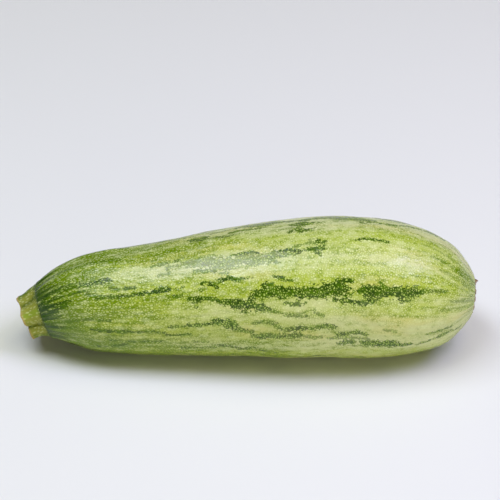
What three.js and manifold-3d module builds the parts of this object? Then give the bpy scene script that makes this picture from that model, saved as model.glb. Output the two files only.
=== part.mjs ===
// A harvested courgette (summer squash) lying on its side, in millimetres, +Z up.
// +X runs along the fruit from the cut stem to the blossom end. The origin is the middle of the
// bounding box's underside, on the surface that the fruit lies on.
//
// Every piece is first turned upright about +Y as a LatheGeometry, with its height as the distance
// along the fruit. It is then shaped by its ridges and laid along one bent spine.

import * as THREE from "three";
import { mergeVertices } from "three/addons/utils/BufferGeometryUtils.js";
import Module from "manifold-3d";

// ---- Driving dimensions ----

const fruitLength = 189.2; // from the stem seat to the blossom end, along the spine
const bellyRadius = 31.0; // the widest section, nearer the blossom end
const stemLength = 9.6; // what is left of the stem after the cut
const stemFootRadius = 11.3; // where the stem meets the fruit, without its ridges
const stemWaistRadius = 8.9; // the middle of the stem, without its ridges
const stemSink = 1.0; // how deep the stem's foot sits below the fruit's shoulder
const scarRadius = 7.6; // the dry disc where the flower fell off
const scarSink = 1.9; // how deep the scar sits in the end of the fruit
const fitGap = 0.3; // clear space between two pieces that touch
const restFlat = 1.2; // how much the underside is flattened where the fruit lies

// How far the ridges stand out, as shares of the local radius, and how far round from the top
// towards the front one of them stands.
const ridgeTurn = THREE.MathUtils.degToRad(50);
const stemRidges = 5;
const stemRidgeHeight = 0.11;
const fruitRibs = 10;
const fruitRibHeight = 0.018;

// Mesh fineness.
const fruitSegments = 60;
const flankSteps = 38;
const stemSegments = 40;
const stemSteps = 7;
const scarSegments = 30;

// The spine: the line through the middle of every section, from the stem's cut end to the
// blossom end. The fruit is straight in plan, and its neck is lower because it is thinner.
const spine = new THREE.CatmullRomCurve3([
  new THREE.Vector3(-96.2, -2.5, 15.6),
  new THREE.Vector3(-88.0, -1.2, 18.6),
  new THREE.Vector3(-74.0, -0.4, 22.0),
  new THREE.Vector3(-42.4, -0.8, 24.3),
  new THREE.Vector3(1.4, -0.5, 28.9),
  new THREE.Vector3(45.3, 0.0, 30.7),
  new THREE.Vector3(84.8, 0.2, 27.0),
  new THREE.Vector3(100.3, 0.0, 25.6),
]);
spine.arcLengthDivisions = 2000;

// The flank's outline between the shoulder and the rim of the scar: [share of fruitLength, share
// of bellyRadius].
const flank = [
  [-0.004, 0.405],
  [0.004, 0.435],
  [0.021, 0.49],
  [0.055, 0.585],
  [0.12, 0.7],
  [0.24, 0.793],
  [0.36, 0.858],
  [0.48, 0.937],
  [0.6, 0.99],
  [0.7, 1.0],
  [0.8, 0.972],
  [0.88, 0.87],
  [0.94, 0.7],
  [0.975, 0.475],
  [0.993, 0.325],
];

// ---- Shared shape tools ----

// Adds a share of the local radius to a lathe's vertices, where share(turn, height) says so. A turn
// of 0 is the top, and a quarter turn is the front.
function ridge(geometry, share) {
  const position = geometry.getAttribute("position");
  for (let i = 0; i < position.count; i++) {
    const x = position.getX(i);
    const z = position.getZ(i);
    const scale = 1 + share(Math.atan2(x, z), position.getY(i));
    position.setX(i, x * scale);
    position.setZ(i, z * scale);
  }
  return geometry;
}

const spineLength = spine.getLength();
const up = new THREE.Vector3(0, 0, 1);

// A point of an upright piece, whose height is its distance from the stem seat, laid along the
// spine. Past the spine's ends it goes straight on.
function onSpine(point) {
  const along = (point.y + stemLength) / spineLength;
  const held = THREE.MathUtils.clamp(along, 0, 1);
  const forward = spine.getTangentAt(held);
  const side = new THREE.Vector3().crossVectors(forward, up).normalize();
  const rise = new THREE.Vector3().crossVectors(side, forward);
  return spine
    .getPointAt(held)
    .addScaledVector(forward, (along - held) * spineLength)
    .addScaledVector(side, point.x)
    .addScaledVector(rise, point.z);
}

function layAlongSpine(geometry) {
  const position = geometry.getAttribute("position");
  const point = new THREE.Vector3();
  for (let i = 0; i < position.count; i++) {
    point.copy(onSpine(point.fromBufferAttribute(position, i)));
    position.setXYZ(i, point.x, point.y, point.z);
  }
  return geometry;
}

// The geometry with only its positions left and its shared vertices joined.
function closed(geometry) {
  geometry.deleteAttribute("normal");
  geometry.deleteAttribute("uv");
  return mergeVertices(geometry, 1e-3);
}

// ---- The fruit ----

const flankCurve = new THREE.SplineCurve(
  flank.map(
    ([along, across]) =>
      new THREE.Vector2(across * bellyRadius, along * fruitLength),
  ),
);

// Ten weak ribs, which show at the neck and fade out before the belly. They come back at the
// blossom end, where they run together at the scar.
function ribShare(turn, height) {
  const along = height / fruitLength;
  const neck = 1 - THREE.MathUtils.smoothstep(along, 0.02, 0.4);
  const tip = THREE.MathUtils.smoothstep(along, 0.8, 0.95);
  const seat = THREE.MathUtils.smoothstep(along, -0.004, 0.012);
  const scar = 1 - THREE.MathUtils.smoothstep(along, 0.975, 0.993);
  const fade = Math.max(neck, 0.6 * tip) * seat * scar;
  return fruitRibHeight * fade * Math.cos(fruitRibs * (turn - ridgeTurn));
}

function fruitGeometry() {
  const seatRadius = stemFootRadius * (1 + 0.5 * stemRidgeHeight) + fitGap;
  const scarFloor = fruitLength - scarSink;
  const outline = [
    new THREE.Vector2(0, stemSink),
    new THREE.Vector2(seatRadius * 0.5, stemSink),
    new THREE.Vector2(seatRadius, stemSink),
    ...flankCurve.getSpacedPoints(flankSteps),
    new THREE.Vector2(scarRadius + 3 * fitGap, fruitLength - 0.65),
    new THREE.Vector2(scarRadius + fitGap, fruitLength - 0.9),
    new THREE.Vector2(scarRadius + fitGap, scarFloor),
    new THREE.Vector2(scarRadius * 0.5, scarFloor),
    new THREE.Vector2(0, scarFloor),
  ];
  const upright = new THREE.LatheGeometry(outline, fruitSegments);
  return layAlongSpine(ridge(upright, ribShare));
}

// The fruit less a thin slice of its underside, so that it lies on a real flat.
async function settled(geometry) {
  const wasm = await Module();
  wasm.setup();
  const solid = (g) =>
    new wasm.Manifold(
      new wasm.Mesh({
        numProp: 3,
        vertProperties: g.getAttribute("position").array,
        triVerts: new Uint32Array(g.index.array),
      }),
    );
  geometry.computeBoundingBox();
  const size = 3 * fruitLength;
  const ground = new THREE.BoxGeometry(size, size, size);
  ground.translate(0, 0, geometry.boundingBox.min.z + restFlat - size / 2);
  const cut = solid(closed(geometry)).subtract(solid(closed(ground))).getMesh();
  return new THREE.BufferGeometry()
    .setAttribute("position", new THREE.BufferAttribute(cut.vertProperties, 3))
    .setIndex(new THREE.BufferAttribute(cut.triVerts, 1));
}

// ---- The stem ----

// Five ridges, one over every second rib, which are weaker at the foot.
function stemShare(turn, height) {
  const foot = THREE.MathUtils.smoothstep(height, -0.45 * stemLength, -0.6);
  const wave = Math.cos((stemRidges * (turn - ridgeTurn)) / 2);
  const crest = Math.pow(Math.abs(wave), 0.8);
  return stemRidgeHeight * (2 * crest - 1) * (1 - 0.6 * foot);
}

function stemGeometry() {
  const foot = stemSink - fitGap; // just clear of the seat's floor
  const waist = new THREE.SplineCurve([
    new THREE.Vector2(stemWaistRadius, -stemLength),
    new THREE.Vector2(stemWaistRadius * 1.04, -0.7 * stemLength),
    new THREE.Vector2(stemWaistRadius * 1.13, -0.42 * stemLength),
    new THREE.Vector2(stemFootRadius, -0.15 * stemLength),
    new THREE.Vector2(stemFootRadius, foot),
  ]);
  const outline = [
    new THREE.Vector2(0, -stemLength),
    new THREE.Vector2(stemWaistRadius * 0.5, -stemLength),
    ...waist.getPoints(stemSteps),
    new THREE.Vector2(stemFootRadius * 0.5, foot),
    new THREE.Vector2(0, foot),
  ];
  const upright = new THREE.LatheGeometry(outline, stemSegments);
  return layAlongSpine(ridge(upright, stemShare));
}

// ---- The scar of the flower ----

// A corky disc with a raised rim and a small point in the middle, where the style stood.
function scarGeometry() {
  const back = fruitLength - scarSink + fitGap;
  const face = fruitLength - 0.9;
  const rim = fruitLength - 0.3;
  const outline = [
    new THREE.Vector2(0, back),
    new THREE.Vector2(scarRadius * 0.5, back),
    new THREE.Vector2(scarRadius - 0.3, back),
    new THREE.Vector2(scarRadius, face),
    new THREE.Vector2(scarRadius - 0.3, rim),
    new THREE.Vector2(scarRadius - 1.0, rim),
    new THREE.Vector2(scarRadius - 1.7, face),
    new THREE.Vector2(1.6, face),
    new THREE.Vector2(0.8, rim + 0.4),
    new THREE.Vector2(0, rim + 0.7),
  ];
  return layAlongSpine(new THREE.LatheGeometry(outline, scarSegments));
}

// ---- The whole courgette ----

function piece(name, geometry, colour, roughness) {
  const material = new THREE.MeshStandardMaterial({
    color: colour,
    roughness,
    metalness: 0,
  });
  const mesh = new THREE.Mesh(geometry, material);
  mesh.name = name;
  return mesh;
}

const courgette = new THREE.Group();
courgette.add(
  piece("fruit", await settled(fruitGeometry()), 0xabbc63, 0.45),
  piece("stem", stemGeometry(), 0x8b973d, 0.65),
  piece("blossom_scar", scarGeometry(), 0xa58a62, 0.9),
);

// The middle of the box's underside goes to the origin.
const bounds = new THREE.Box3().setFromObject(courgette, true);
const middle = bounds.getCenter(new THREE.Vector3());
courgette.position.set(-middle.x, -middle.y, -bounds.min.z);

export default courgette;
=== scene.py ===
"""A whole courgette lying on its side, on a plain studio floor.

The fruit, its cut stem and the dry scar of its flower are each turned as a fine grid round one
bent spine, and take the place of the three CAD nodes of the same shape. The work is done in
millimetres along the spine and round it, and goes to metres when a mesh is made.

A place on the courgette is its height, which is the distance from the stem seat along the spine,
and its turn, which is 0 on top and a quarter turn at the front.
"""

import math

import bpy
import numpy as np
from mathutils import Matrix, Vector


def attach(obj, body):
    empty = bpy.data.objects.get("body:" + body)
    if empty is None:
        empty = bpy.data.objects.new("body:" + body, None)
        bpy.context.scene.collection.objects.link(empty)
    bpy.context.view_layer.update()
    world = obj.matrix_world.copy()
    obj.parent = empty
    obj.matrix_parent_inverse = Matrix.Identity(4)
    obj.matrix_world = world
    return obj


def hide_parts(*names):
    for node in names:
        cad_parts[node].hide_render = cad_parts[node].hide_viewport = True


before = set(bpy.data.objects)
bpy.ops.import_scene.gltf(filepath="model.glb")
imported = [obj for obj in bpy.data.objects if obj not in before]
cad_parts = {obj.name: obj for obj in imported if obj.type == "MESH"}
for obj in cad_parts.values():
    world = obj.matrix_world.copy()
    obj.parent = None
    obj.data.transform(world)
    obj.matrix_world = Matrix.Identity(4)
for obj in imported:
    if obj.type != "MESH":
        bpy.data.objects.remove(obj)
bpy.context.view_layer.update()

bl_info = {
    "name": "Courgette",
    "version": (1, 0, 0),
    "blender": (4, 5, 0),
    "location": "3D View > Sidebar > Courgette",
    "description": "Builds a courgette with its cut stem and its blossom scar",
    "category": "Object",
}

UNWRAP_NAME = "OFBake"  # the name of the clean unwrap that each piece carries
MM = 0.001
TAU = 2 * math.pi

# ---- The courgette's lines, in millimetres ----

# The line through the middle of every section, from the stem's cut end to the blossom end: along
# the courgette, across it and up.
SPINE = (
    (-96.9, -2.4, 15.0),
    (-88.7, -1.1, 18.0),
    (-74.7, -0.3, 21.4),
    (-43.1, -0.7, 23.7),
    (0.7, -0.4, 28.3),
    (44.6, 0.1, 30.1),
    (84.1, 0.3, 26.4),
    (99.6, 0.1, 25.0),
)

# The flank from the shoulder to the rim of the scar: share of the length, share of the belly.
FLANK = (
    (-0.004, 0.405),
    (0.004, 0.435),
    (0.021, 0.49),
    (0.055, 0.585),
    (0.12, 0.7),
    (0.24, 0.793),
    (0.36, 0.858),
    (0.48, 0.937),
    (0.6, 0.99),
    (0.7, 1.0),
    (0.8, 0.972),
    (0.88, 0.87),
    (0.94, 0.7),
    (0.975, 0.475),
    (0.993, 0.325),
)

# The seat in the shoulder that holds the stem's foot: height, radius.
SEAT = (
    (1.0, 2.0),
    (1.0, 6.0),
    (1.0, 11.6),
    (0.8, 12.1),
    (0.1, 12.2),
    (-0.45, 12.3),
    (-0.72, 12.45),
)

# A ridge of the stem stands this many degrees round from the top, and the others follow it.
RIDGE_TURN = 50
STEM_RIDGES = 5
FRUIT_RIBS = 10

# How far the fine lumps of the skin stand out, and the creases at the stem and at the scar.
FINE_LUMPS = 0.09
STEM_CREASES = 0.3
SCAR_CREASES = 0.22

# How gently the underside bends into the flat that it lies on. A larger number is gentler.
SETTLING = 0.35

# The radius at which the skin's pattern keeps its true width. It is narrower where the fruit is
# thinner and wider where the fruit is thicker, as the skin itself grows.
PATTERN_RADIUS = 26.0

# The dark marks, as strokes. Each has its depth of colour, then its points: height in
# millimetres, turn in degrees, half width in millimetres.
BELT_MARKS = (
    # The broad ragged belt along the front.
    (1.0, (66, 55, 0.7), (70, 56, 1.1), (73, 56, 1.1), (77, 57, 0.8), (79, 60, 1.6)),
    (1.0, (79, 60, 1.6), (83, 61, 2.0), (87, 64, 2.5), (91, 65, 2.6), (95, 67, 2.1), (99, 68, 1.1)),
    (1.0, (91, 59, 0.9), (93, 56, 1.7), (97, 54, 2.5), (101, 54, 2.7), (104, 55, 2.8)),
    (1.0, (104, 55, 2.8), (109, 55, 2.6), (113, 56, 2.4), (115, 55, 2.0), (118, 56, 3.0)),
    (1.0, (118, 56, 3.0), (122, 55, 3.3), (127, 55, 3.5), (130, 55, 3.1), (132, 55, 0.9)),
    (1.0, (97, 49, 1.0), (99, 48, 1.5), (101, 48, 0.9)),
    (1.0, (127, 47, 0.6), (130, 47, 0.9), (133, 48, 1.0)),
    (1.0, (126, 62, 0.8), (130, 63, 1.4), (133, 64, 1.4), (136, 65, 1.2), (139, 65, 1.3), (143, 62, 1.3)),
    (1.0, (136, 55, 1.3), (138, 54, 1.9), (140, 56, 3.4), (143, 56, 3.0), (145, 57, 1.1)),
    (1.0, (144, 48, 0.6), (147, 53, 1.0), (147, 56, 1.9), (150, 55, 2.5), (153, 56, 3.2)),
    (1.0, (153, 56, 3.2), (156, 55, 2.6), (159, 53, 2.0), (163, 52, 1.0)),
    (0.8, (163, 52, 1.0), (168, 51, 0.6), (174, 50, 0.5)),
    # Small marks beside the belt.
    (1.0, (101, 41, 0.7), (104, 43, 1.0), (107, 45, 0.9), (110, 46, 0.5)),
    (0.9, (106, 64, 0.7), (109, 65, 1.1), (112, 65, 0.9), (115, 64, 0.4)),
    (0.8, (96, 70, 0.6), (102, 71, 0.7), (107, 74, 0.9), (111, 76, 0.7), (116, 76, 0.5)),
    (0.7, (111, 74, 0.6), (115, 71, 0.6), (118, 70, 0.6)),
    (0.7, (118, 73, 0.5), (122, 76, 0.5)),
    (1.0, (78, 40, 0.4), (81, 40, 0.9), (84, 40, 1.0), (87, 42, 0.7)),
    (0.9, (87, 41, 0.4), (93, 41, 0.4)),
    (1.0, (71, 41, 0.9), (74, 42, 1.4), (76, 44, 1.3), (78, 47, 0.8)),
    (0.9, (77, 42, 0.5), (80, 43, 0.4)),
    (0.9, (71, 47, 0.5), (72, 48, 0.5)),
    (0.9, (67, 58, 0.6), (70, 59, 0.6)),
    (0.9, (68, 63, 0.6), (69, 63, 0.5)),
    (0.9, (57, 51, 0.6), (60, 51, 0.9), (63, 51, 0.5)),
    (0.9, (61, 44, 0.5), (64, 43, 0.8)),
)

NECK_MARKS = (
    # The long dark streak from the neck to the belly, with its small neighbours.
    (0.9, (25, 49, 0.7), (29, 48, 0.8), (33, 48, 0.9), (38, 47, 1.0), (43, 46, 0.9)),
    (1.0, (43, 46, 0.9), (49, 46, 0.9), (52, 45, 1.2), (56, 44, 1.2), (59, 45, 0.5)),
    (0.8, (25, 48, 0.9), (29, 46, 0.6)),
    (0.7, (21, 43, 0.8), (24, 45, 1.0), (26, 47, 0.9)),
    (0.8, (31, 38, 0.6), (35, 40, 0.5)),
    (0.9, (38, 39, 0.8), (42, 39, 0.8)),
    # Lines that run together at the stem.
    (0.9, (-0.5, 47, 0.9), (2, 38, 0.9), (5, 32, 1.0), (9, 28, 0.9), (13, 27, 0.8), (17, 27, 0.6)),
    (0.9, (17, 28, 1.0), (20, 30, 1.4), (22, 30, 1.3), (24, 29, 1.1), (27, 29, 1.3), (31, 28, 1.5)),
    (0.8, (10, 32, 1.0), (13, 31, 1.3), (17, 32, 1.2)),
    (0.9, (-1, 54, 0.8), (2, 46, 0.8), (6, 42, 0.8), (10, 41, 0.7), (15, 40, 0.5), (20, 39, 0.4)),
    (1.0, (1, 52, 0.7), (6, 50, 0.9), (9, 50, 1.0), (14, 49, 0.7)),
    (0.9, (4, 58, 0.5), (8, 56, 0.9), (12, 54, 0.6)),
    (0.8, (-0.5, 63, 0.6), (3, 62, 0.6), (8, 61, 0.5)),
    (0.8, (-0.5, 70, 0.6), (4, 69, 0.6), (9, 67, 0.4)),
    (0.6, (0, 76, 0.6), (5, 78, 0.7), (12, 76, 0.8), (18, 75, 0.6), (23, 72, 0.5)),
    (0.7, (3, 86, 0.5), (9, 86, 0.6), (15, 84, 0.4)),
    (0.8, (26, 74, 0.5), (31, 74, 0.5)),
    (0.6, (-1, 6, 0.9), (3, 1, 1.0), (12, 1, 0.9), (17, 3, 0.9), (22, 3, 0.8)),
    (0.7, (22, 3, 0.8), (26, 3, 0.8), (30, 3, 1.1), (35, 4, 1.0)),
    (0.3, (-1, -4, 0.6), (3, -11, 0.6), (8, -15, 0.6), (14, -16, 0.5)),
    (0.7, (0, -22, 0.7), (6, -25, 0.7), (13, -27, 0.6)),
)

TOP_MARKS = (
    # Thin lines over the top, from the neck to the middle.
    (0.8, (21, -26, 0.5), (26, -24, 0.7), (35, -28, 0.7), (48, -28, 0.7), (56, -25, 0.8), (65, -21, 0.8)),
    (0.7, (26, -11, 0.4), (29, -12, 0.4)),
    (0.7, (38, -36, 0.7), (46, -38, 0.9), (56, -38, 0.9), (64, -37, 1.2), (74, -34, 1.2)),
    (0.6, (5, -30, 0.6), (10, -24, 0.7), (16, -25, 0.6)),
    (0.9, (67, -12, 1.0), (70, -11, 2.0), (73, -11, 1.9), (75, -13, 0.7)),
    (0.7, (76, -18, 0.6), (81, -20, 0.7), (87, -21, 1.0)),
    (0.8, (76, -9, 0.6), (81, -7, 0.9), (86, -7, 0.9)),
    # The broad marks that the top hides, down the back.
    (0.8, (87, -21, 1.4), (92, -21, 2.6), (97, -20, 3.2), (102, -21, 2.6), (106, -22, 1.0)),
    (0.9, (90, -34, 1.5), (97, -36, 2.6), (103, -34, 1.5)),
    (0.8, (84, -12, 0.6), (90, -13, 0.8), (97, -12, 0.6)),
    (0.9, (105, -22, 0.9), (108, -21, 1.1), (113, -20, 1.2), (116, -21, 1.6)),
    (0.8, (116, -22, 1.7), (121, -23, 2.5), (126, -23, 2.9), (131, -22, 3.3), (135, -21, 3.3)),
    (0.8, (135, -21, 3.3), (138, -19, 2.6), (141, -18, 1.4)),
    (0.9, (110, -12, 1.1), (113, -12, 2.0), (116, -12, 2.4), (118, -12, 1.8)),
    (0.6, (120, -13, 0.6), (123, -13, 0.6)),
    (0.5, (126, -14, 0.6), (132, -15, 0.6)),
    (0.6, (106, -6, 0.8), (110, -7, 0.8)),
    (0.9, (109, 0, 1.0), (111, -3, 1.1)),
    (0.9, (112, -3, 1.2), (114, -1, 1.5), (117, -2, 1.1)),
    (0.8, (118, 0, 0.9), (119, -4, 0.9)),
    (0.9, (137, -12, 0.6), (140, -13, 0.9), (142, -14, 0.7)),
    (0.8, (144, -13, 0.6), (147, -13, 1.0), (151, -14, 0.9)),
    (0.8, (153, -16, 0.6), (157, -18, 0.9), (162, -20, 0.9)),
    (0.9, (164, -21, 0.7), (168, -22, 1.0), (173, -20, 0.7)),
    (0.9, (144, -28, 1.0), (149, -27, 1.4), (153, -27, 1.4), (158, -28, 1.0)),
    (0.9, (163, -29, 0.9), (168, -30, 1.0)),
    (0.8, (174, -33, 0.9), (178, -32, 1.0), (184, -28, 0.7)),
    (1.0, (135, 11, 0.4), (138, 10, 0.8), (141, 10, 0.8), (143, 11, 0.5)),
    (1.0, (144, 10, 0.6), (147, 12, 0.8)),
    # The wide belt under the light, and its ragged ends.
    (0.6, (65, 20, 1.4), (70, 21, 2.5), (75, 22, 3.1), (79, 25, 3.5), (83, 26, 3.4)),
    (0.6, (83, 26, 3.4), (87, 25, 2.8), (92, 25, 3.2), (96, 26, 3.4), (100, 26, 3.0)),
    (0.7, (100, 26, 3.0), (103, 24, 2.4), (108, 22, 1.6), (111, 22, 1.0)),
    (1.0, (102, 22, 0.8), (105, 21, 1.1), (108, 20, 1.1), (111, 21, 1.1), (113, 22, 0.8)),
    (0.9, (85, 19, 0.6), (89, 18, 0.8), (93, 17, 0.9), (96, 20, 0.9)),
    (1.0, (115, 21, 0.8), (118, 20, 0.8), (120, 20, 0.9), (123, 20, 0.5)),
    (0.9, (119, 23, 0.8), (121, 25, 0.9)),
    (0.7, (102, 30, 0.8), (105, 30, 0.8)),
    (0.7, (111, 17, 0.9), (114, 15, 1.0), (117, 14, 0.8), (120, 14, 0.8)),
    (1.0, (120, 13, 1.4), (122, 14, 1.6)),
    (0.5, (117, 10, 0.5), (119, 10, 0.5)),
    (0.7, (69, 29, 0.7), (73, 30, 0.7), (78, 32, 0.9)),
    (0.7, (80, 35, 0.9), (83, 34, 1.0)),
    (0.7, (50, 18, 0.6), (54, 17, 0.9), (58, 16, 0.9)),
    (0.6, (57, 22, 0.8), (61, 21, 0.9), (65, 22, 0.5)),
    (0.6, (53, 29, 0.7), (58, 28, 0.8)),
    (0.8, (61, 15, 0.6), (63, 14, 0.6)),
    (0.8, (64, 13, 0.4), (67, 13, 0.4)),
)

TIP_MARKS = (
    # Thin lines that run together at the scar.
    (0.5, (160, 6, 0.5), (168, 8, 0.6), (176, 11, 0.8), (183, 15, 0.9), (188, 20, 0.7)),
    (0.5, (166, 18, 0.5), (173, 20, 0.8), (180, 24, 0.9), (187, 30, 0.8)),
    (0.4, (170, 30, 0.4), (177, 32, 0.7), (184, 37, 0.8), (188, 42, 0.6)),
    (0.3, (175, 42, 0.4), (182, 45, 0.6), (187, 50, 0.6)),
    (0.5, (176, 60, 0.4), (182, 61, 0.8), (188, 64, 0.9)),
    (0.4, (172, 70, 0.4), (180, 70, 0.6), (187, 72, 0.7)),
    (0.5, (182, 82, 0.4), (188, 84, 0.6)),
)

LOW_MARKS = (
    # Rows low on the front, down to the surface it lies on.
    (0.9, (56, 82, 0.7), (61, 81, 0.9), (67, 81, 0.9), (73, 80, 1.0)),
    (1.0, (73, 80, 1.0), (77, 78, 1.6), (80, 81, 2.3), (84, 83, 2.0), (85, 81, 0.9)),
    (0.9, (83, 86, 1.0), (87, 88, 1.0), (91, 90, 0.9)),
    (0.8, (92, 81, 0.7), (96, 80, 0.9), (100, 81, 0.9), (103, 86, 1.2), (107, 89, 1.1)),
    (0.9, (91, 94, 0.9), (96, 95, 1.5), (101, 95, 1.8), (106, 94, 1.7), (112, 94, 1.3)),
    (0.9, (106, 88, 0.8), (109, 87, 1.4), (112, 86, 1.3), (116, 87, 1.0), (119, 86, 1.3)),
    (0.9, (119, 86, 1.3), (122, 85, 1.2), (126, 86, 1.2)),
    (0.7, (113, 94, 0.9), (118, 96, 1.1), (122, 95, 0.7)),
    (0.9, (127, 92, 0.9), (133, 92, 1.2), (136, 91, 1.1), (141, 94, 0.8)),
    (0.7, (124, 97, 0.8), (133, 97, 0.9), (142, 99, 0.8)),
    (0.9, (128, 104, 1.1), (131, 103, 1.6), (135, 103, 1.4)),
    (0.7, (135, 107, 0.9), (142, 107, 1.0)),
    (1.0, (139, 103, 1.5), (143, 105, 2.1), (146, 104, 2.3), (150, 103, 2.1), (154, 105, 1.9)),
    (1.0, (154, 105, 1.9), (158, 106, 1.5), (161, 106, 0.9)),
    (0.9, (163, 108, 0.7), (168, 106, 0.9), (173, 103, 0.8), (178, 101, 0.6), (183, 107, 0.5)),
    (0.9, (167, 95, 0.5), (172, 94, 0.7), (178, 94, 0.5)),
    (0.6, (148, 88, 0.6), (153, 89, 0.6)),
    (0.9, (22, 85, 0.6), (30, 86, 0.7), (41, 86, 0.7), (54, 88, 0.7)),
    (0.9, (54, 91, 0.6), (60, 91, 0.8), (65, 91, 0.6)),
    (0.8, (24, 112, 0.6), (30, 109, 0.6), (37, 105, 0.5)),
    (0.8, (30, 100, 0.5), (40, 101, 0.5), (52, 100, 0.5)),
    (0.8, (65, 100, 0.5), (74, 102, 0.5)),
    (0.9, (60, 110, 0.8), (67, 110, 0.8), (74, 109, 0.9)),
    (0.9, (76, 106, 0.9), (81, 109, 1.2), (86, 113, 1.4), (91, 112, 1.3), (96, 116, 1.0)),
    (0.8, (97, 119, 0.6), (101, 120, 0.6)),
)

# The lines of broken marks on the side away from the front and underneath, in degrees of turn, and
# the height at which they end.
FAR_LINES = (129, 143, 158, 176, 193, 209, 228, 246, 262, 281, 296, 310)
FAR_END = 178


def linear(code):
    """A colour such as 0xabbc63 as linear red, green and blue."""
    shares = [(code >> shift & 255) / 255 for shift in (16, 8, 0)]
    return tuple(s / 12.92 if s <= 0.04045 else ((s + 0.055) / 1.055) ** 2.4 for s in shares)


# ---- What a user may change ----


def length(name, description, value):
    """A size property whose default is in millimetres."""
    return bpy.props.FloatProperty(
        name=name,
        description=description,
        default=value * MM,
        min=0,
        precision=4,
        unit="LENGTH",
        subtype="DISTANCE",
    )


def paint(name, description, code):
    """A colour property with its default as a screen colour."""
    return bpy.props.FloatVectorProperty(
        name=name,
        description=description,
        default=linear(code),
        min=0,
        max=1,
        size=3,
        subtype="COLOR",
    )


class CourgetteSizes(bpy.types.PropertyGroup):
    """The courgette's sizes."""

    fruit_length: length("Fruit length", "From the stem seat to the blossom end", 189.2)
    belly_radius: length("Belly radius", "The widest section", 31.0)
    rib_height: length("Rib height", "How far a rib of the neck stands out", 0.4)
    lump_height: length("Lump height", "How far the skin swells and dips", 0.28)
    stem_length: length("Stem length", "What is left of the stem after the cut", 9.6)
    stem_radius: length("Stem radius", "The stem's waist, without its ridges", 8.9)
    foot_radius: length("Stem foot radius", "Where the stem meets the fruit", 12.0)
    scar_radius: length("Scar radius", "The dry disc at the blossom end", 7.6)


class CourgetteColours(bpy.types.PropertyGroup):
    """The courgette's colours."""

    skin_pale: paint("Pale skin", "The palest bands of the skin", 0xBEC488)
    skin_yellow: paint("Yellow-green skin", "The skin between the pale bands", 0xA6B63E)
    skin_warm: paint("Warm patches", "The yellower patches of the skin", 0xC4BE68)
    skin_green: paint("Green skin", "The mottling and the skin near the stem", 0x627E00)
    skin_dot: paint("Dots", "The small pale dots of the skin and of the stem", 0xD0D898)
    mark: paint("Dark marks", "The ragged dark marks", 0x284400)
    mark_light: paint("Lighter marks", "The faint marks, and mottling in the others", 0x4A6C00)
    mark_dot: paint("Dots in the marks", "The dots that show through the marks", 0xA8BC56)
    # Partly the skin's own dark green, partly painted shade in the groove round the stem.
    shoulder: paint("Shoulder", "The dark rim round the stem", 0x26440E)
    stem: paint("Stem", "The olive green of the stem", 0x868C30)
    stem_crest: paint("Stem crests", "The bright green of its crests and its fibres", 0x7E9A1E)
    # Painted shade for the stem's hollows, foot, far side and underside.
    stem_painted_shade: paint("Dark stem", "The stem's hollows, foot, far side and underside", 0x4C640C)
    stem_dry: paint("Dry edge", "The dried edge of the cut, and worn parts of the scar", 0xAC9458)
    stem_cut: paint("Cut face", "The fibrous face of the cut", 0xC3B982)
    scar: paint("Scar", "The corky blossom scar", 0x8E6C48)
    scar_dark: paint("Scar cracks", "The cracks and the dark specks of the scar", 0x4A3322)
    floor: paint("Floor", "The studio floor", 0xDEDFD7)


# ---- Shapes ----


def ease(values, low, high):
    """0 below low, 1 above high, and a smooth change between them."""
    share = np.clip((np.asarray(values, float) - low) / (high - low), 0, 1)
    return share * share * (3 - 2 * share)


def through(points, steps, power):
    """A fine line through the points, whose pieces are timed by distance to that power."""
    p = np.array(points, float)
    p = np.vstack([2 * p[0] - p[1], p, 2 * p[-1] - p[-2]])
    gaps = np.linalg.norm(np.diff(p, axis=0), axis=1) ** power
    t = np.linspace(0, 1, steps, endpoint=False)[:, None]
    line = []
    for k in range(1, len(p) - 2):
        before, here, after = gaps[k - 1 : k + 2]
        a, b, c, d = p[k - 1 : k + 3]
        start = (b - a) / before - (c - a) / (before + here) + (c - b) / here
        end = (c - b) / here - (d - b) / (here + after) + (d - c) / after
        start, end = start * here, end * here
        line.append(
            b
            + start * t
            + (3 * (c - b) - 2 * start - end) * t**2
            + (2 * (b - c) + start + end) * t**3
        )
    return np.vstack([*line, p[-2:-1]])


def distances(line):
    """How far along a line each of its points is."""
    return np.concatenate([[0], np.cumsum(np.linalg.norm(np.diff(line, axis=0), axis=1))])


def evenly(line, count):
    """A number of points spaced evenly along a flat line."""
    along = distances(line)
    steps = np.linspace(0, along[-1], count)
    return np.column_stack([np.interp(steps, along, line[:, k]) for k in range(2)])


class Spine:
    """The bent line through the courgette, along which its points are laid."""

    def __init__(self, stem_length):
        self.line = through(SPINE, 200, 0.5)
        self.heights = distances(self.line) - stem_length
        self.forward = np.gradient(self.line, self.heights, axis=0)

    def at(self, heights, table):
        """What a table that goes along the spine holds at each of the heights."""
        return np.stack([np.interp(heights, self.heights, table[:, k]) for k in range(3)], -1)

    def lay(self, heights, turns, radii):
        """Points in millimetres for arrays of heights, turns in radians, and radii."""
        held = np.clip(heights, self.heights[0], self.heights[-1])
        forward = self.at(held, self.forward)
        forward /= np.linalg.norm(forward, axis=-1, keepdims=True)
        side = np.cross(forward, (0.0, 0.0, 1.0))
        side /= np.linalg.norm(side, axis=-1, keepdims=True)
        rise = np.cross(side, forward)
        return (
            self.at(held, self.line)
            + forward * (heights - held)[..., None]
            + side * (radii * np.sin(turns))[..., None]
            + rise * (radii * np.cos(turns))[..., None]
        )

    def tips(self, first, last):
        """The points in a piece's two ends, on the spine."""
        return self.lay(np.array([first, last]), np.zeros(2), np.zeros(2))


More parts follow.
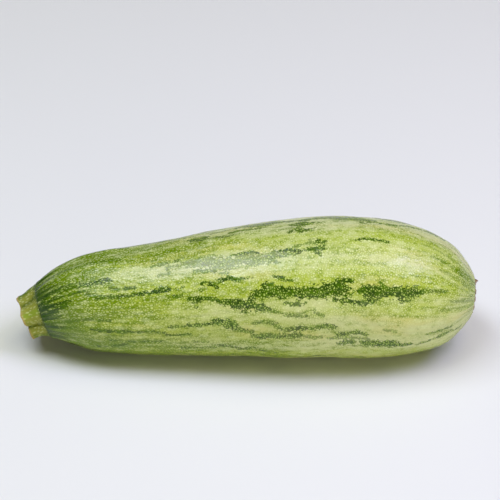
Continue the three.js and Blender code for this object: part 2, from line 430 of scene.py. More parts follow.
def swell(heights, turns, seed, rounds, waves, count):
    """Smooth lumps between about -1 and 1, made of waves round and along a piece.

    rounds is the range of whole waves round it, and waves the range of lengths along it.
    """
    chance = np.random.default_rng(seed)
    total = np.zeros(np.broadcast(heights, turns).shape)
    for _ in range(count):
        around = int(chance.integers(rounds[0], rounds[1] + 1))
        along = chance.choice([-1, 1]) * TAU / chance.uniform(*waves)
        total += np.cos(around * turns + along * heights + chance.uniform(0, TAU))
    return total / math.sqrt(2 * count)


def unwrap(mesh, points):
    """Gives a turned mesh a clean unwrap: one strip across the sheet for each row of the grid."""
    rows, columns = points.shape[:2]
    middle = points.mean(axis=1)
    reach = np.linalg.norm(points - middle[:, None], axis=2).mean(axis=1)
    v = distances(np.column_stack([middle, reach])) + reach[0]
    v = v / (v[-1] + reach[-1])
    u = np.arange(columns + 1) / columns
    i, j = np.meshgrid(np.arange(rows - 1), np.arange(columns), indexing="ij")
    strips = np.stack([(i, j), (i + 1, j), (i + 1, j + 1), (i, j + 1)], -1)
    at = strips.reshape(2, -1, 4)[:, :, ::-1]
    quads = np.stack([u[at[1]], v[at[0]]], -1).reshape(-1, 2)

    def fan(tip, edge, order):
        """The triangles between an end's point and its ring."""
        corners = []
        for c in range(columns):
            corners += [(u[c] + 0.5 / columns, tip), (u[c], edge), (u[c + 1], edge)][::order]
        return corners

    layer = mesh.uv_layers.new(name=UNWRAP_NAME)
    flat = np.vstack([quads, fan(0.0, v[0], -1), fan(1.0, v[-1], 1)])
    layer.data.foreach_set("uv", flat.astype(np.float32).ravel())


def turned_mesh(name, points, tips):
    """A closed mesh from a grid of points, rows along and columns round, with a point in each end."""
    rows, columns = points.shape[:2]
    verts = np.vstack([points.reshape(-1, 3), tips]) * MM
    i, j = np.meshgrid(np.arange(rows - 1), np.arange(columns), indexing="ij")
    k = (j + 1) % columns
    here, beyond = i * columns, (i + 1) * columns
    quads = np.stack([here + j, beyond + j, beyond + k, here + k], -1).reshape(-1, 4)[:, ::-1]
    first, last = rows * columns, rows * columns + 1
    ring = np.arange(columns)
    following = (ring + 1) % columns
    end = (rows - 1) * columns
    start_fan = np.stack([np.full(columns, first), ring, following], -1)[:, ::-1]
    end_fan = np.stack([np.full(columns, last), end + ring, end + following], -1)
    mesh = bpy.data.meshes.new(name)
    mesh.from_pydata(verts.tolist(), [], quads.tolist() + start_fan.tolist() + end_fan.tolist())
    mesh.shade_smooth()
    unwrap(mesh, points)
    mesh.validate()
    return mesh


def with_tips(grid, first=0.0, last=0.0):
    """The numbers of a grid in one row, and after them those of the points in its two ends."""
    return np.append(np.ravel(grid), [first, last])


def grid_of(rows, columns):
    """The rows' heights, and the columns' turns all the way round, both for every grid point."""
    return np.meshgrid(rows, np.arange(columns) / columns * TAU, indexing="ij")


def section_grain(heights, turns, radii, ends=(0.0, 0.0)):
    """The place in a pattern that fills a piece: along it, and both ways across its section."""
    across = with_tips(radii * np.cos(turns)), with_tips(radii * np.sin(turns))
    return np.stack([with_tips(heights, *ends), *across], -1)


def carry(mesh, name, values):
    """Stores a number, or three, for each point of a mesh, for its material to read."""
    values = np.asarray(values, np.float32)
    kind = "FLOAT" if values.ndim == 1 else "FLOAT_VECTOR"
    field = "value" if values.ndim == 1 else "vector"
    mesh.attributes.new(name, kind, "POINT").data.foreach_set(field, values.ravel())


def placed(mesh, material, node):
    """Puts a finished mesh in the scene in place of its CAD node."""
    mesh.materials.append(material)
    piece = bpy.data.objects.new(mesh.name, mesh)
    bpy.context.scene.collection.objects.link(piece)
    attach(piece, "root")
    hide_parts(node)


# ---- Materials ----

WAX_IOR = 1.41
BARK_IOR = 1.35
SKIN_CELLS = 1.15  # how many of the skin's small cells go in a millimetre


class Value:
    """A socket's number or colour, on which an expression adds Math nodes."""

    def __init__(self, web, socket):
        self.web = web
        self.socket = socket

    def maths(self, operation, first, second):
        """One Math node."""
        return self.web.node("ShaderNodeMath", {"operation": operation}, {0: first, 1: second})

    def __add__(self, other):
        return self.maths("ADD", self, other)

    def __sub__(self, other):
        return self.maths("SUBTRACT", self, other)

    def __rsub__(self, other):
        return self.maths("SUBTRACT", other, self)

    def __mul__(self, other):
        return self.maths("MULTIPLY", self, other)

    __radd__ = __add__
    __rmul__ = __mul__


class Web:
    """The nodes of one material."""

    def __init__(self, name):
        self.material = bpy.data.materials.new(name)
        self.material.use_nodes = True
        self.tree = self.material.node_tree
        self.tree.nodes.clear()
        self.shader = self.tree.nodes.new("ShaderNodeBsdfPrincipled")
        output = self.tree.nodes.new("ShaderNodeOutputMaterial")
        self.tree.links.new(self.shader.outputs["BSDF"], output.inputs["Surface"])

    def feed(self, socket, value):
        """Links a value to a socket, or sets it there."""
        if isinstance(value, Value):
            self.tree.links.new(value.socket, socket)
        else:
            socket.default_value = value

    def node(self, kind, settings, sockets, output=0):
        """Adds any node: its settings first, then the values or links of its sockets."""
        node = self.tree.nodes.new(kind)
        for name, value in settings.items():
            setattr(node, name, value)
        for name, value in sockets.items():
            self.feed(node.inputs[name], value)
        return Value(self, node.outputs[output])

    def finish(self, sockets):
        """Feeds the shader's own sockets and returns the material."""
        for name, value in sockets.items():
            self.feed(self.shader.inputs[name], value)
        return self.material

    def stored(self, name, output="Fac"):
        """What carry() stored for each point."""
        settings = {"attribute_type": "GEOMETRY", "attribute_name": name}
        return self.node("ShaderNodeAttribute", settings, {}, output)

    def drawn_out(self, grain, share):
        """The place in a pattern, with its distance along shrunk, so that the pattern is longer."""
        settings = {"operation": "MULTIPLY"}
        return self.node("ShaderNodeVectorMath", settings, {0: grain, 1: (share, 1.0, 1.0)})

    def noise(self, vector, scale, detail=2.0, roughness=0.5):
        """Cloudy noise round 0, mostly between -1 and 1."""
        sockets = {"Vector": vector, "Scale": scale, "Detail": detail, "Roughness": roughness}
        settings = {"noise_dimensions": "3D"}
        return (self.node("ShaderNodeTexNoise", settings, sockets) - 0.5) * 4.0

    def cells(self, vector, scale, output, feature="F1"):
        """Irregular cells: the distance to a cell's middle or edge, or its own random colour."""
        sockets = {"Vector": vector, "Scale": scale}
        return self.node("ShaderNodeTexVoronoi", {"feature": feature}, sockets, output)

    def step(self, value, low, high):
        """0 below low, 1 above high. Low may be the larger one."""
        settings = {"interpolation_type": "SMOOTHSTEP"}
        sockets = {"Value": value, "From Min": low, "From Max": high}
        return self.node("ShaderNodeMapRange", settings, sockets)

    def mix(self, share, first, second):
        """A colour between two others."""
        paints = [c if isinstance(c, Value) else (*c, 1.0) for c in (first, second)]
        settings = {"data_type": "RGBA", "blend_type": "MIX"}
        return self.node("ShaderNodeMix", settings, {0: share, 6: paints[0], 7: paints[1]}, 2)

    def part(self, vector, axis):
        """One number of a vector."""
        return self.node("ShaderNodeSeparateXYZ", {}, {0: vector}, axis)

    def bump(self, height, strength, reach):
        """A surface raised by height times reach, in metres."""
        sockets = {"Height": height, "Strength": strength, "Distance": reach}
        return self.node("ShaderNodeBump", {}, sockets)


def skin_material(colours):
    """Waxy skin: pale and green bands, small pale dots, and ragged dark marks."""
    web = Web("courgette_skin")
    grain = web.stored("grain", "Vector")
    height = web.stored("height")
    drawn = web.drawn_out(grain, 0.55)
    long = web.drawn_out(grain, 0.16)

    # Small cells cover the whole skin. Each has a pale dot in its middle, larger in some.
    border = web.cells(grain, SKIN_CELLS, "Distance", "DISTANCE_TO_EDGE")
    chance = web.cells(grain, SKIN_CELLS, "Color")
    middle = border + chance * 0.14
    dot = web.step(middle, 0.18, 0.38)

    # Broad soft bands, and finer mottling that is drawn out along the fruit.
    cloud = web.noise(long, 0.16, 3.0)
    mottle = web.noise(drawn, 0.4, 3.0, 0.6)
    speckle = web.noise(grain, 1.1, 2.0, 0.6)
    streak = web.noise(web.drawn_out(grain, 0.12), 0.8, 2.0)
    band = web.stored("band") + cloud * 0.5 + mottle * 0.3
    skin = web.mix(web.step(band, -0.9, 0.6), colours.skin_pale, colours.skin_yellow)
    warm = web.step(web.noise(web.drawn_out(grain, 0.25), 0.11, 3.0), 0.0, 0.9)
    skin = web.mix(warm * 0.6, skin, colours.skin_warm)
    mottling = mottle * 0.45 + speckle * 0.4 + streak * 0.35 + cloud * 0.25
    greener = web.stored("green") + mottling - border * 1.9 + 0.12
    skin = web.mix(web.step(greener, -0.4, 1.0), skin, colours.skin_green)
    faint = web.step(web.cells(drawn, 0.34, "Distance"), 0.45, 0.15)
    skin = web.mix(dot * web.stored("dots") + faint * 0.3, skin, colours.skin_dot)

    # The marks: their edges break up into cells, and the cells' dots show through them.
    size = web.stored("mark_size")
    ragged = (chance - 0.5) * 1.9 + web.noise(drawn, 0.32, 3.0, 0.6) * 0.8
    inside = web.stored("mark_reach") + (ragged - 0.2) * size + 0.17
    mark = web.step(inside, -0.1, 0.12)
    holes = web.step(middle - web.stored("mark_solid"), 0.02, 0.14)
    depth = web.stored("mark_depth")
    light = web.step(speckle + mottle - depth * 2.0, -2.6, -0.9)
    dark = web.mix(light, colours.mark, colours.mark_light)
    dark = web.mix(holes * 0.85, dark, colours.mark_dot)
    cover = mark * depth
    skin = web.mix(cover, skin, dark)

    # The dark rim round the stem, with its fine lines: partly the skin's own dark green and partly
    # painted shade in the groove where the stem meets the fruit.
    fine = web.noise(web.drawn_out(grain, 0.08), 0.45, 2.0)
    neck = web.step(height - fine * 9.0, 10.0, -2.0)
    skin = web.mix(neck * 0.85, skin, colours.shoulder)

    rough = 0.19 + speckle * 0.03 + cover * 0.02
    relief = dot * 0.25 + speckle * 0.4 + mottle * 0.9
    normal = web.bump(relief, 0.7, 0.00016)
    return web.finish({"Base Color": skin, "Roughness": rough, "Normal": normal, "IOR": WAX_IOR})


def stem_material(colours):
    """Ridged green stem with a dry edge and a fibrous cut."""
    web = Web("courgette_stem")
    grain = web.stored("grain", "Vector")
    height = web.part(grain, "X")
    drawn = web.drawn_out(grain, 0.2)
    fibre = web.noise(drawn, 1.1, 3.0, 0.6)
    speckle = web.noise(grain, 1.3, 3.0, 0.6)
    bright = web.step(web.stored("ridge") + fibre * 0.03, 0.93, 1.0)
    bark = web.mix(bright * 0.6, colours.stem, colours.stem_crest)
    # Painted shade, from the stored field: the far side, the underside, the foot and the hollows.
    dark = web.step(web.stored("shaded") + fibre * 0.4 + speckle * 0.25, 0.1, 1.1)
    bark = web.mix(dark * 0.9, bark, colours.stem_painted_shade)
    dots = web.step(web.cells(web.drawn_out(grain, 0.5), 1.05, "Distance"), 0.5, 0.15)
    bark = web.mix(dots * 0.45, bark, colours.skin_dot)
    dry = web.step(height + speckle * 0.5 + fibre * 0.4, -8.4, -9.6)
    bark = web.mix(dry * 0.85, bark, colours.stem_dry)

    # The cut face: pale, with its fibres seen end on, browner and drier outwards.
    face = web.stored("face")
    out = web.stored("out")
    end_grain = web.step(web.cells(grain, 0.9, "Distance"), 0.45, 0.2)
    flesh = web.mix(end_grain * 0.5 + speckle * 0.15, colours.stem_cut, colours.stem_crest)
    flesh = web.mix(web.step(out + speckle * 0.06, 0.72, 0.98), flesh, colours.stem_dry)
    colour = web.mix(face, bark, flesh)
    relief = fibre * 0.3 + speckle * 0.15 + dots * 0.3
    normal = web.bump(relief, 0.7, 0.0003)
    rough = 0.55 + speckle * 0.06
    return web.finish({"Base Color": colour, "Roughness": rough, "Normal": normal, "IOR": BARK_IOR})


def scar_material(colours):
    """Dry brown cork."""
    web = Web("courgette_scar")
    grain = web.stored("grain", "Vector")
    speckle = web.noise(grain, 1.2, 4.0, 0.65)
    crack = web.step(web.noise(grain, 0.55, 3.0, 0.6), 0.1, 0.6)
    worn = web.step(web.noise(grain, 0.28, 3.0, 0.6) + speckle * 0.5, -0.2, 1.2)
    cork = web.mix(worn * 0.7, colours.scar, colours.stem_dry)
    colour = web.mix(crack * 0.8 + speckle * 0.25, cork, colours.scar_dark)
    normal = web.bump(speckle * 0.5 - crack, 0.9, 0.0005)
    return web.finish({"Base Color": colour, "Roughness": 0.88, "Normal": normal})


def plain_material(name, colour, roughness):
    """One even colour."""
    return Web(name).finish({"Base Color": (*colour, 1.0), "Roughness": roughness})


# ---- The fruit ----

FRUIT_COLUMNS = 252
FLANK_ROWS = 350


def fruit_outline(sizes):
    """Heights and radii of the fruit's rows, from the stem seat over the flank to the scar."""
    long, belly = sizes.fruit_length / MM, sizes.belly_radius / MM
    scar = sizes.scar_radius / MM
    flank = through([(h * long, r * belly) for h, r in FLANK], 60, 0.0)
    rim = ((long - 0.75, scar + 1.2), (long - 0.62, scar + 0.7), (long - 0.8, scar + 0.35))
    floor = ((long - 1.9, scar + 0.2), (long - 1.9, scar * 0.6), (long - 1.9, 2.0))
    return np.vstack([SEAT, evenly(flank, FLANK_ROWS), rim, floor]).T


def fruit_relief(heights, turns, sizes):
    """How far the fruit's skin stands out, in millimetres: ribs, lumps and creases at both ends."""
    long = sizes.fruit_length / MM
    share = heights / long
    seat = ease(share, -0.004, 0.012)
    scar = 1 - ease(share, 0.975, 0.993)
    ribs = np.maximum(1 - ease(share, 0.02, 0.4), 0.6 * ease(share, 0.8, 0.95))
    wander = 0.12 * np.sin(3 * turns + 0.05 * heights)
    wave = np.cos(FRUIT_RIBS * (turns - math.radians(RIDGE_TURN) + wander))
    ribs = sizes.rib_height / MM * ribs * wave
    lumps = sizes.lump_height / MM * swell(heights, turns, 3, (0, 6), (28, 70), 9)
    lumps += FINE_LUMPS * swell(heights, turns, 5, (4, 16), (12, 30), 12)
    shoulder = np.exp(-np.abs(heights + 0.5) / 4.5)
    creases = STEM_CREASES * shoulder * swell(heights * 0.2, turns, 7, (18, 46), (20, 60), 10)
    closing = np.exp(-np.abs(long - heights) / 3.5)
    creases += SCAR_CREASES * closing * swell(heights * 0.2, turns, 9, (14, 40), (20, 60), 10)
    return (ribs + lumps) * seat * scar + creases * ease(share, -0.0042, -0.002)


# How far from a stroke, in millimetres, its effect is worked out, and what lies beyond it.
STROKE_REACH = 10
BEYOND = -9.0


def stroke_fields(heights, turns, radii, strokes):
    """For each point: how far inside the nearest stroke, how ragged that one is, and its depth."""
    reach = np.full(heights.shape, BEYOND)
    size = np.full(heights.shape, 0.6)
    depth = np.zeros(heights.shape)
    for darkness, *points in strokes:
        for (h0, t0, w0), (h1, t1, w1) in zip(points, points[1:]):
            along, around = h1 - h0, math.radians(t1 - t0)
            near = heights > min(h0, h1) - STROKE_REACH
            near &= heights < max(h0, h1) + STROKE_REACH
            dh = heights[near] - h0
            dt = (turns[near] - math.radians(t0) + math.pi) % TAU - math.pi
            r = radii[near]
            span = along**2 + (around * r) ** 2 + 1e-6
            t = np.clip((dh * along + dt * around * r * r) / span, 0, 1)
            gap = np.hypot(dh - along * t, (dt - around * t) * r)
            width = w0 + (w1 - w0) * t
            inside = width - gap
            better = inside > reach[near]
            chosen = np.flatnonzero(near)[better]
            reach.flat[chosen] = inside[better]
            size.flat[chosen] = np.clip(0.32 + 0.5 * width[better], 0.5, 1.9)
            depth.flat[chosen] = darkness
    return reach, size, depth


def far_strokes():
    """Broken lines of marks on the far side and underneath, of the same kind as the front ones."""
    chance = np.random.default_rng(21)
    strokes = []
    for line in FAR_LINES:
        broad = chance.random() < 0.4
        height = chance.uniform(2, 14)
        while height < FAR_END:
            span = chance.uniform(4, 26 if broad else 14)
            width = chance.uniform(0.9, 3.0) if broad else chance.uniform(0.35, 0.9)
            ends = math.exp(-((height - 95) / 70) ** 4)
            points = []
            for share in np.linspace(0, 1, 4):
                turn = line + chance.uniform(-2.5, 2.5)
                swelling = 0.5 + 0.9 * math.sin(math.pi * share) * chance.uniform(0.6, 1.1)
                half_width = width * swelling * (0.35 + 0.65 * ends)
                points.append((height + span * share, turn, half_width))
            strokes.append((chance.uniform(0.7, 1.0), *points))
            height += span + chance.uniform(1, 16)
    return strokes


# Bands of the skin between its ribs: turn in degrees, half width in degrees, and how green they
# are, where a negative number is paler than the rest.
BANDS = (
    (-30, 9, -0.5),
    (-8, 8, -0.55),
    (8, 11, 0.6),
    (45, 12, 0.45),
    (58, 6, -0.15),
    (72, 8, -0.1),
    (105, 8, -0.3),
    (122, 9, 0.4),
    (150, 10, -0.5),
    (172, 10, 0.5),
    (196, 10, -0.5),
    (220, 11, 0.4),
    (245, 10, -0.5),
    (268, 11, 0.5),
    (292, 9, -0.5),
    (312, 9, 0.4),
)


def band_field(turns):
    """How green the bands make the skin at each turn."""
    total = np.zeros(turns.shape)
    for turn, width, green in BANDS:
        off = (turns - math.radians(turn) + math.pi) % TAU - math.pi
        total += green * np.exp(-((off / math.radians(width)) ** 2))
    return total


def between(values, rise, fall):
    """0 outside a range and 1 inside it, easing up over rise and down over fall."""
    return ease(values, *rise) * (1 - ease(values, *fall))


def fruit_fields(mesh, heights, turns, radii):
    """Stores what the skin's material reads."""
    strokes = [*BELT_MARKS, *NECK_MARKS, *TOP_MARKS, *TIP_MARKS, *LOW_MARKS, *far_strokes()]
    reach, size, depth = stroke_fields(heights, turns, radii, strokes)
    # The pattern is drawn out along the neck.
    steps = np.arange(-20.0, 220.0)
    along = np.interp(heights, steps, np.cumsum(0.62 + 0.3 * ease(steps, 10, 110)))
    grain = [along, PATTERN_RADIUS * np.cos(turns), PATTERN_RADIUS * np.sin(turns)]

    # The skin is greenest at the neck and along its crown, and greener again round the scar. Its
    # underside, from the stem to past the middle, is darker green with painted shade. It is palest low
    # on the belly, partly its own pale band and partly painted light thrown up from the floor; along
    # its top, partly paler skin and partly painted sheen from the lights overhead; and in two patches
    # high on the front, which are painted highlights under the two smaller lights.
    degrees = np.degrees(turns)
    signed = (degrees + 180) % 360 - 180
    neck = 0.64 * (1 - ease(heights, 0, 105)) + 0.55 * (1 - ease(heights, 0, 40))
    tip = ease(heights, 168, 190) * (1 - between(degrees, (64, 76), (96, 110)))
    # Painted shade: darker, greener skin on the underside.
    low = between(degrees, (88, 112), (230, 260)) * (1 - ease(heights, 90, 140))
    crown = (1 - ease(np.abs(signed + 12), 12, 36)) * (1 - ease(heights, 60, 115))
    # Partly the skin's own pale band, partly painted light thrown up from the floor onto the low belly.
    pale = between(degrees, (70, 84), (118, 140)) * ease(heights, 95, 140)
    # Painted highlights: paler, less green patches on the front where the two smaller lights shine.
    clear = between(heights, (15, 50), (80, 105)) + 0.3 * between(heights, (132, 146), (160, 172))
    clear *= between(signed, (6, 18), (31, 41))
    # Partly paler skin and partly painted sheen from the lights overhead, along the top.
    top = ease(heights, 70, 110) * (1 - ease(np.abs(signed), 20, 50))
    under = between(degrees, (66, 90), (250, 290))
    # The marks are nets, whose holes close up in the thin lines of the neck.
    solid = 0.22 - 0.05 * under + 0.2 * (1 - ease(size, 0.5, 0.9)) * (1 - ease(heights, 30, 70))
    band = band_field(turns) - 0.5 * pale - 0.8 * clear - 0.3 * top
    band += 0.5 * (1 - ease(heights, 20, 110))
    green = neck + 0.34 * tip + 0.4 * low + 0.3 * crown - 0.15 * pale - 0.3 * clear

    carry(mesh, "grain", np.stack(grain, -1))
    carry(mesh, "height", heights)
    carry(mesh, "band", band)
    carry(mesh, "green", green)
    carry(mesh, "dots", (0.5 - 0.04 * neck + 0.2 * tip) * (1 - 0.5 * under))
    carry(mesh, "mark_reach", reach)
    carry(mesh, "mark_size", size)
    carry(mesh, "mark_depth", depth)
    carry(mesh, "mark_solid", solid)


class COURGETTE_OT_fruit(bpy.types.Operator):
    """Builds the fruit: one closed skin with its ribs, lumps and creases."""

    bl_idname = "courgette.fruit"
    bl_label = "Fruit"

    def execute(self, context):
        sizes = context.scene.courgette_sizes
        row_heights, row_radii = fruit_outline(sizes)
        heights, turns = grid_of(row_heights, FRUIT_COLUMNS)
        radii = row_radii[:, None] + fruit_relief(heights, turns, sizes)
        spine = Spine(sizes.stem_length / MM)
        points = spine.lay(heights, turns, radii)
        # The underside settles on the surface, with a soft edge to the flat.
        low = points[..., 2]
        points[..., 2] = 0.5 * (low + np.sqrt(low**2 + SETTLING**2))
        ends = row_heights[[0, -1]]
        mesh = turned_mesh("fruit_skin", points, spine.tips(*ends))
        fruit_fields(mesh, with_tips(heights, *ends), with_tips(turns), with_tips(radii, 1.0, 1.0))
        placed(mesh, skin_material(context.scene.courgette_colours), "fruit")
        return {"FINISHED"}


# ---- The stem ----

STEM_COLUMNS = 240
STEM_ROWS = 60
FACE_ROWS = 30
STEM_FOOT = 0.7  # the height of the stem's underside, below the shoulder


def stem_outline(long, waist, foot):
    """The stem's rows: their heights, their widths, and how far out in that width they are.

    They go from the middle of the cut face outwards, then down the flank to the foot.
    """
    flank = [(-long, waist * 1.02), (-0.7 * long, waist * 1.04), (-0.42 * long, waist * 1.13)]
    flank += [(-0.2 * long, foot * 0.94), (-1.1, foot), (-0.9, foot + 0.1), (-0.6, foot - 0.2)]
    flank = evenly(through([*flank, (STEM_FOOT, foot - 0.3)], 40, 0.0), STEM_ROWS)
    rows = np.concatenate([np.full(FACE_ROWS, -long), flank[:, 0], [STEM_FOOT, STEM_FOOT]])
    width = np.concatenate([np.full(FACE_ROWS, waist * 1.04), flank[:, 1], [foot, foot]])
    out = np.concatenate([np.linspace(0.05, 0.96, FACE_ROWS), np.ones(STEM_ROWS), [0.6, 0.2]])
    return rows, width[:, None], out[:, None]


class COURGETTE_OT_stem(bpy.types.Operator):
    """Builds the cut stem: five ridges, a flared foot and a fibrous cut face."""

    bl_idname = "courgette.stem"
    bl_label = "Stem"

    def execute(self, context):
        sizes = context.scene.courgette_sizes
        long = sizes.stem_length / MM
        rows, width, out = stem_outline(long, sizes.stem_radius / MM, sizes.foot_radius / MM)
        heights, turns = grid_of(rows, STEM_COLUMNS)
        face = np.zeros(heights.shape)
        face[:FACE_ROWS] = 1
        ridge = np.abs(np.cos(STEM_RIDGES / 2 * (turns - math.radians(RIDGE_TURN))))
        crest = 1 - (1 - ridge) ** 1.5

        settle = ease(heights, -0.45 * long, -0.6)
        radii = width * (1 + 0.15 * (2 * crest - 1.3) * (1 - 0.75 * settle))
        radii += 0.16 * swell(heights * 0.3, turns, 11, (12, 30), (15, 40), 10) * (1 - 0.5 * settle)
        radii += 0.2 * swell(heights, turns, 12, (2, 9), (10, 25), 8)
        radii *= out
        # The cut is not quite flat: it dips between the ridges and in the middle, and its edge is
        # a little raised.
        cut = ease(heights, -long + 3.0, -long)
        ragged = 0.35 * swell(heights * 0, turns, 13, (3, 14), (20, 40), 8)
        dip = 0.9 * (1 - out**2) + 0.55 * (1 - crest) * out**2
        rim = 0.25 * np.exp(-(((out - 0.93) / 0.05) ** 2)) * face
        heights = heights + cut * (dip + ragged * out) - rim

        spine = Spine(long)
        points = spine.lay(heights, turns, radii)
        mesh = turned_mesh("stem_stub", points, spine.tips(-long + 0.9, STEM_FOOT))
        carry(mesh, "grain", section_grain(heights, turns, radii, (-long, STEM_FOOT)))
        carry(mesh, "ridge", with_tips(ridge))
        # Painted shade: the stem is darker on the far side and underneath, at its foot where it meets the
        # fruit, and in its hollows.
        degrees = (np.degrees(turns) + 180) % 360 - 180
        shaded = 1.1 * (1 - ease(degrees, -22, 2)) + 0.7 * ease(degrees, 98, 118)
        shaded += 0.9 * ease(heights, -2.6, -0.4) + 0.7 * (1 - ease(ridge, 0.05, 0.45))
        carry(mesh, "shaded", with_tips(shaded))
        carry(mesh, "face", with_tips(face, 1.0, 0.0))
        carry(mesh, "out", with_tips(np.broadcast_to(out, heights.shape)))
        placed(mesh, stem_material(context.scene.courgette_colours), "stem")
        return {"FINISHED"}


# ---- The scar of the flower ----

SCAR_COLUMNS = 180

# A flake of the dried flower that still stands on the rim: degrees of turn, and height.
FLAKE_TURN = 340
FLAKE_HEIGHT = 1.5


def scar_outline():
    """The scar's rows: their heights beyond the blossom end, and their shares of its radius."""
    back = [(-1.6, 0.2), (-1.6, 0.9), (-1.3, 0.985)]
    rim = [(-0.9, 1.0), (-0.45, 0.985), (-0.3, 0.95), (-0.38, 0.9), (-0.7, 0.84), (-0.9, 0.78)]
    disc = [(-0.9, share) for share in np.linspace(0.72, 0.26, 16)]
    style = [(-0.75, 0.2), (-0.4, 0.15), (0.0, 0.1), (0.2, 0.05)]
    return through(back + rim + disc + style, 3, 0.0).T


class COURGETTE_OT_scar(bpy.types.Operator):
    """Builds the dry blossom scar: a corky disc, its ragged rim and the stub of the style."""

    bl_idname = "courgette.scar"
    bl_label = "Blossom scar"

    def execute(self, context):
        sizes = context.scene.courgette_sizes
        long = sizes.fruit_length / MM
        row_heights, row_shares = scar_outline()
        heights, turns = grid_of(row_heights, SCAR_COLUMNS)
        shares = row_shares[:, None]
        rim = np.exp(-(((shares - 0.95) / 0.08) ** 2)) * (heights > -1.1)
        top = ease(heights, -1.1, -0.7)
        heights = heights + rim * (0.3 * swell(heights * 0, turns, 15, (5, 30), (20, 40), 12) + 0.1)
        heights += top * (1 - rim) * 0.24 * swell(shares * 30, turns, 16, (2, 12), (6, 14), 12)
        flake = np.exp(-(((turns - math.radians(FLAKE_TURN)) / 0.13) ** 2))
        heights += FLAKE_HEIGHT * (flake * rim)
        wavy = 1 + 0.012 * swell(heights * 0, turns, 17, (6, 26), (20, 40), 10)
        radii = sizes.scar_radius / MM * shares * wavy

        spine = Spine(sizes.stem_length / MM)
        points = spine.lay(heights + long, turns, radii)
        mesh = turned_mesh("blossom_scar_cork", points, spine.tips(long - 1.6, long + 0.25))
        carry(mesh, "grain", section_grain(heights, turns, radii))
        placed(mesh, scar_material(context.scene.courgette_colours), "blossom_scar")
        return {"FINISHED"}


# ---- The stage ----

FLOOR_REACH = 6.0

# The camera goes round a target, so many degrees above level. Its aim is a little above and beside
# the target. The lens and the sensor are in millimetres, and the rest is in metres.
CAMERA_TARGET = Vector((0.0004, 0.0, 0.028))
CAMERA_ELEVATION = 38.0
CAMERA_DISTANCE = 1.075
CAMERA_LENS = 176.5
CAMERA_SENSOR = 36.0
CAMERA_RISE = 0.0179
CAMERA_ASIDE = 0.00143

# The cool colours of the two smaller lights overhead, and the warm white of the rest.
LEFT_LIGHT = (0.76, 0.82, 1.0)
RIGHT_LIGHT = (0.52, 0.49, 1.0)
WARM_LIGHT = (1.0, 0.96, 0.71)
BACKGROUND_STRENGTH = 0.13


def lay_floor(colours):
    """One large plain floor."""
    mesh = bpy.data.meshes.new("floor")
    signs = ((-1, -1), (1, -1), (1, 1), (-1, 1))
    corners = [(x * FLOOR_REACH, y * FLOOR_REACH, 0.0) for x, y in signs]
    mesh.from_pydata(corners, [], [(0, 1, 2, 3)])
    mesh.materials.append(plain_material("studio_floor", colours.floor, 0.9))
    floor = bpy.data.objects.new("floor", mesh)
    bpy.context.scene.collection.objects.link(floor)


def lamp(name, place, aim, size, power, colour):
    """A rectangular soft light."""
    light = bpy.data.lights.new(name, "AREA")
    light.shape = "RECTANGLE"
    light.size, light.size_y = size
    light.energy = power
    light.color = colour
    rig = bpy.data.objects.new(name, light)
    rig.location = place
    rig.rotation_euler = (Vector(aim) - Vector(place)).to_track_quat("-Z", "Y").to_euler()
    bpy.context.scene.collection.objects.link(rig)


def light_studio():
    """Three lights overhead, a low one at the front, and a dim background."""
    world = bpy.data.worlds.new("studio")
    world.use_nodes = True
    background = world.node_tree.nodes["Background"]
    background.inputs["Color"].default_value = (*WARM_LIGHT, 1.0)
    background.inputs["Strength"].default_value = BACKGROUND_STRENGTH
    bpy.context.scene.world = world

    lamp("soft_left", (-0.29, -0.07, 0.95), (-0.09, -0.29, 0), (0.34, 0.64), 6.4, LEFT_LIGHT)
    lamp("soft_right", (0.6, -0.14, 0.9), (0.05, 0, 0), (0.36, 0.52), 6.0, RIGHT_LIGHT)
    lamp("soft_top", (0.4, -0.1, 1.2), (0.1, 0, 0), (1.2, 0.9), 7.1, WARM_LIGHT)
    lamp("fill_low", (0.4, -1.3, 0.17), (0, 0, 0.03), (1.8, 0.3), 7.3, WARM_LIGHT)


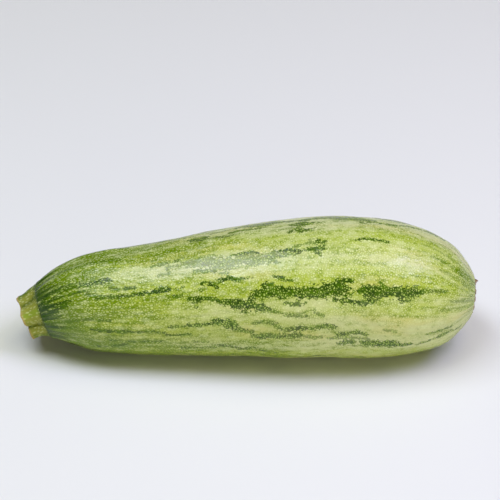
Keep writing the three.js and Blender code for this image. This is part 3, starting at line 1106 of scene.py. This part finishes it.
def set_camera():
    """A long lens that looks down on the front."""
    elevation = math.radians(CAMERA_ELEVATION)
    back = Vector((0, -math.cos(elevation), math.sin(elevation)))
    rise = Vector((0, math.sin(elevation), math.cos(elevation)))
    data = bpy.data.cameras.new("camera")
    data.lens = CAMERA_LENS
    data.sensor_width = CAMERA_SENSOR
    camera = bpy.data.objects.new("camera", data)
    camera.location = CAMERA_TARGET + back * CAMERA_DISTANCE
    aim = CAMERA_TARGET + rise * CAMERA_RISE + Vector((CAMERA_ASIDE, 0, 0))
    camera.rotation_euler = (aim - camera.location).to_track_quat("-Z", "Y").to_euler()
    bpy.context.scene.collection.objects.link(camera)
    bpy.context.scene.camera = camera


class COURGETTE_OT_stage(bpy.types.Operator):
    """Sets the floor, the soft lights, the background and the camera."""

    bl_idname = "courgette.stage"
    bl_label = "Stage"

    def execute(self, context):
        lay_floor(context.scene.courgette_colours)
        light_studio()
        set_camera()
        context.scene.view_settings.view_transform = "Standard"
        return {"FINISHED"}


# ---- The add-on ----


class COURGETTE_PT_pieces(bpy.types.Panel):
    """Lists the pieces and the stage, with the sizes and the colours."""

    bl_idname = "COURGETTE_PT_pieces"
    bl_label = "Courgette"
    bl_space_type = "VIEW_3D"
    bl_region_type = "UI"
    bl_category = "Courgette"

    def draw(self, context):
        for kind in PIECES:
            self.layout.operator(kind.bl_idname)
        for group in (context.scene.courgette_sizes, context.scene.courgette_colours):
            box = self.layout.box()
            for name in group.__annotations__:
                box.prop(group, name)


PIECES = (COURGETTE_OT_fruit, COURGETTE_OT_stem, COURGETTE_OT_scar, COURGETTE_OT_stage)
CLASSES = (CourgetteSizes, CourgetteColours, *PIECES, COURGETTE_PT_pieces)


def register():
    """Adds the operators, the panel and the two groups of properties."""
    for kind in CLASSES:
        bpy.utils.register_class(kind)
    bpy.types.Scene.courgette_sizes = bpy.props.PointerProperty(type=CourgetteSizes)
    bpy.types.Scene.courgette_colours = bpy.props.PointerProperty(type=CourgetteColours)


def unregister():
    """Takes them all away again."""
    del bpy.types.Scene.courgette_colours
    del bpy.types.Scene.courgette_sizes
    for kind in reversed(CLASSES):
        bpy.utils.unregister_class(kind)


def main():
    """Builds the courgette and its stage."""
    register()
    bpy.ops.courgette.fruit()
    bpy.ops.courgette.stem()
    bpy.ops.courgette.scar()
    bpy.ops.courgette.stage()


if __name__ == "__main__":
    main()
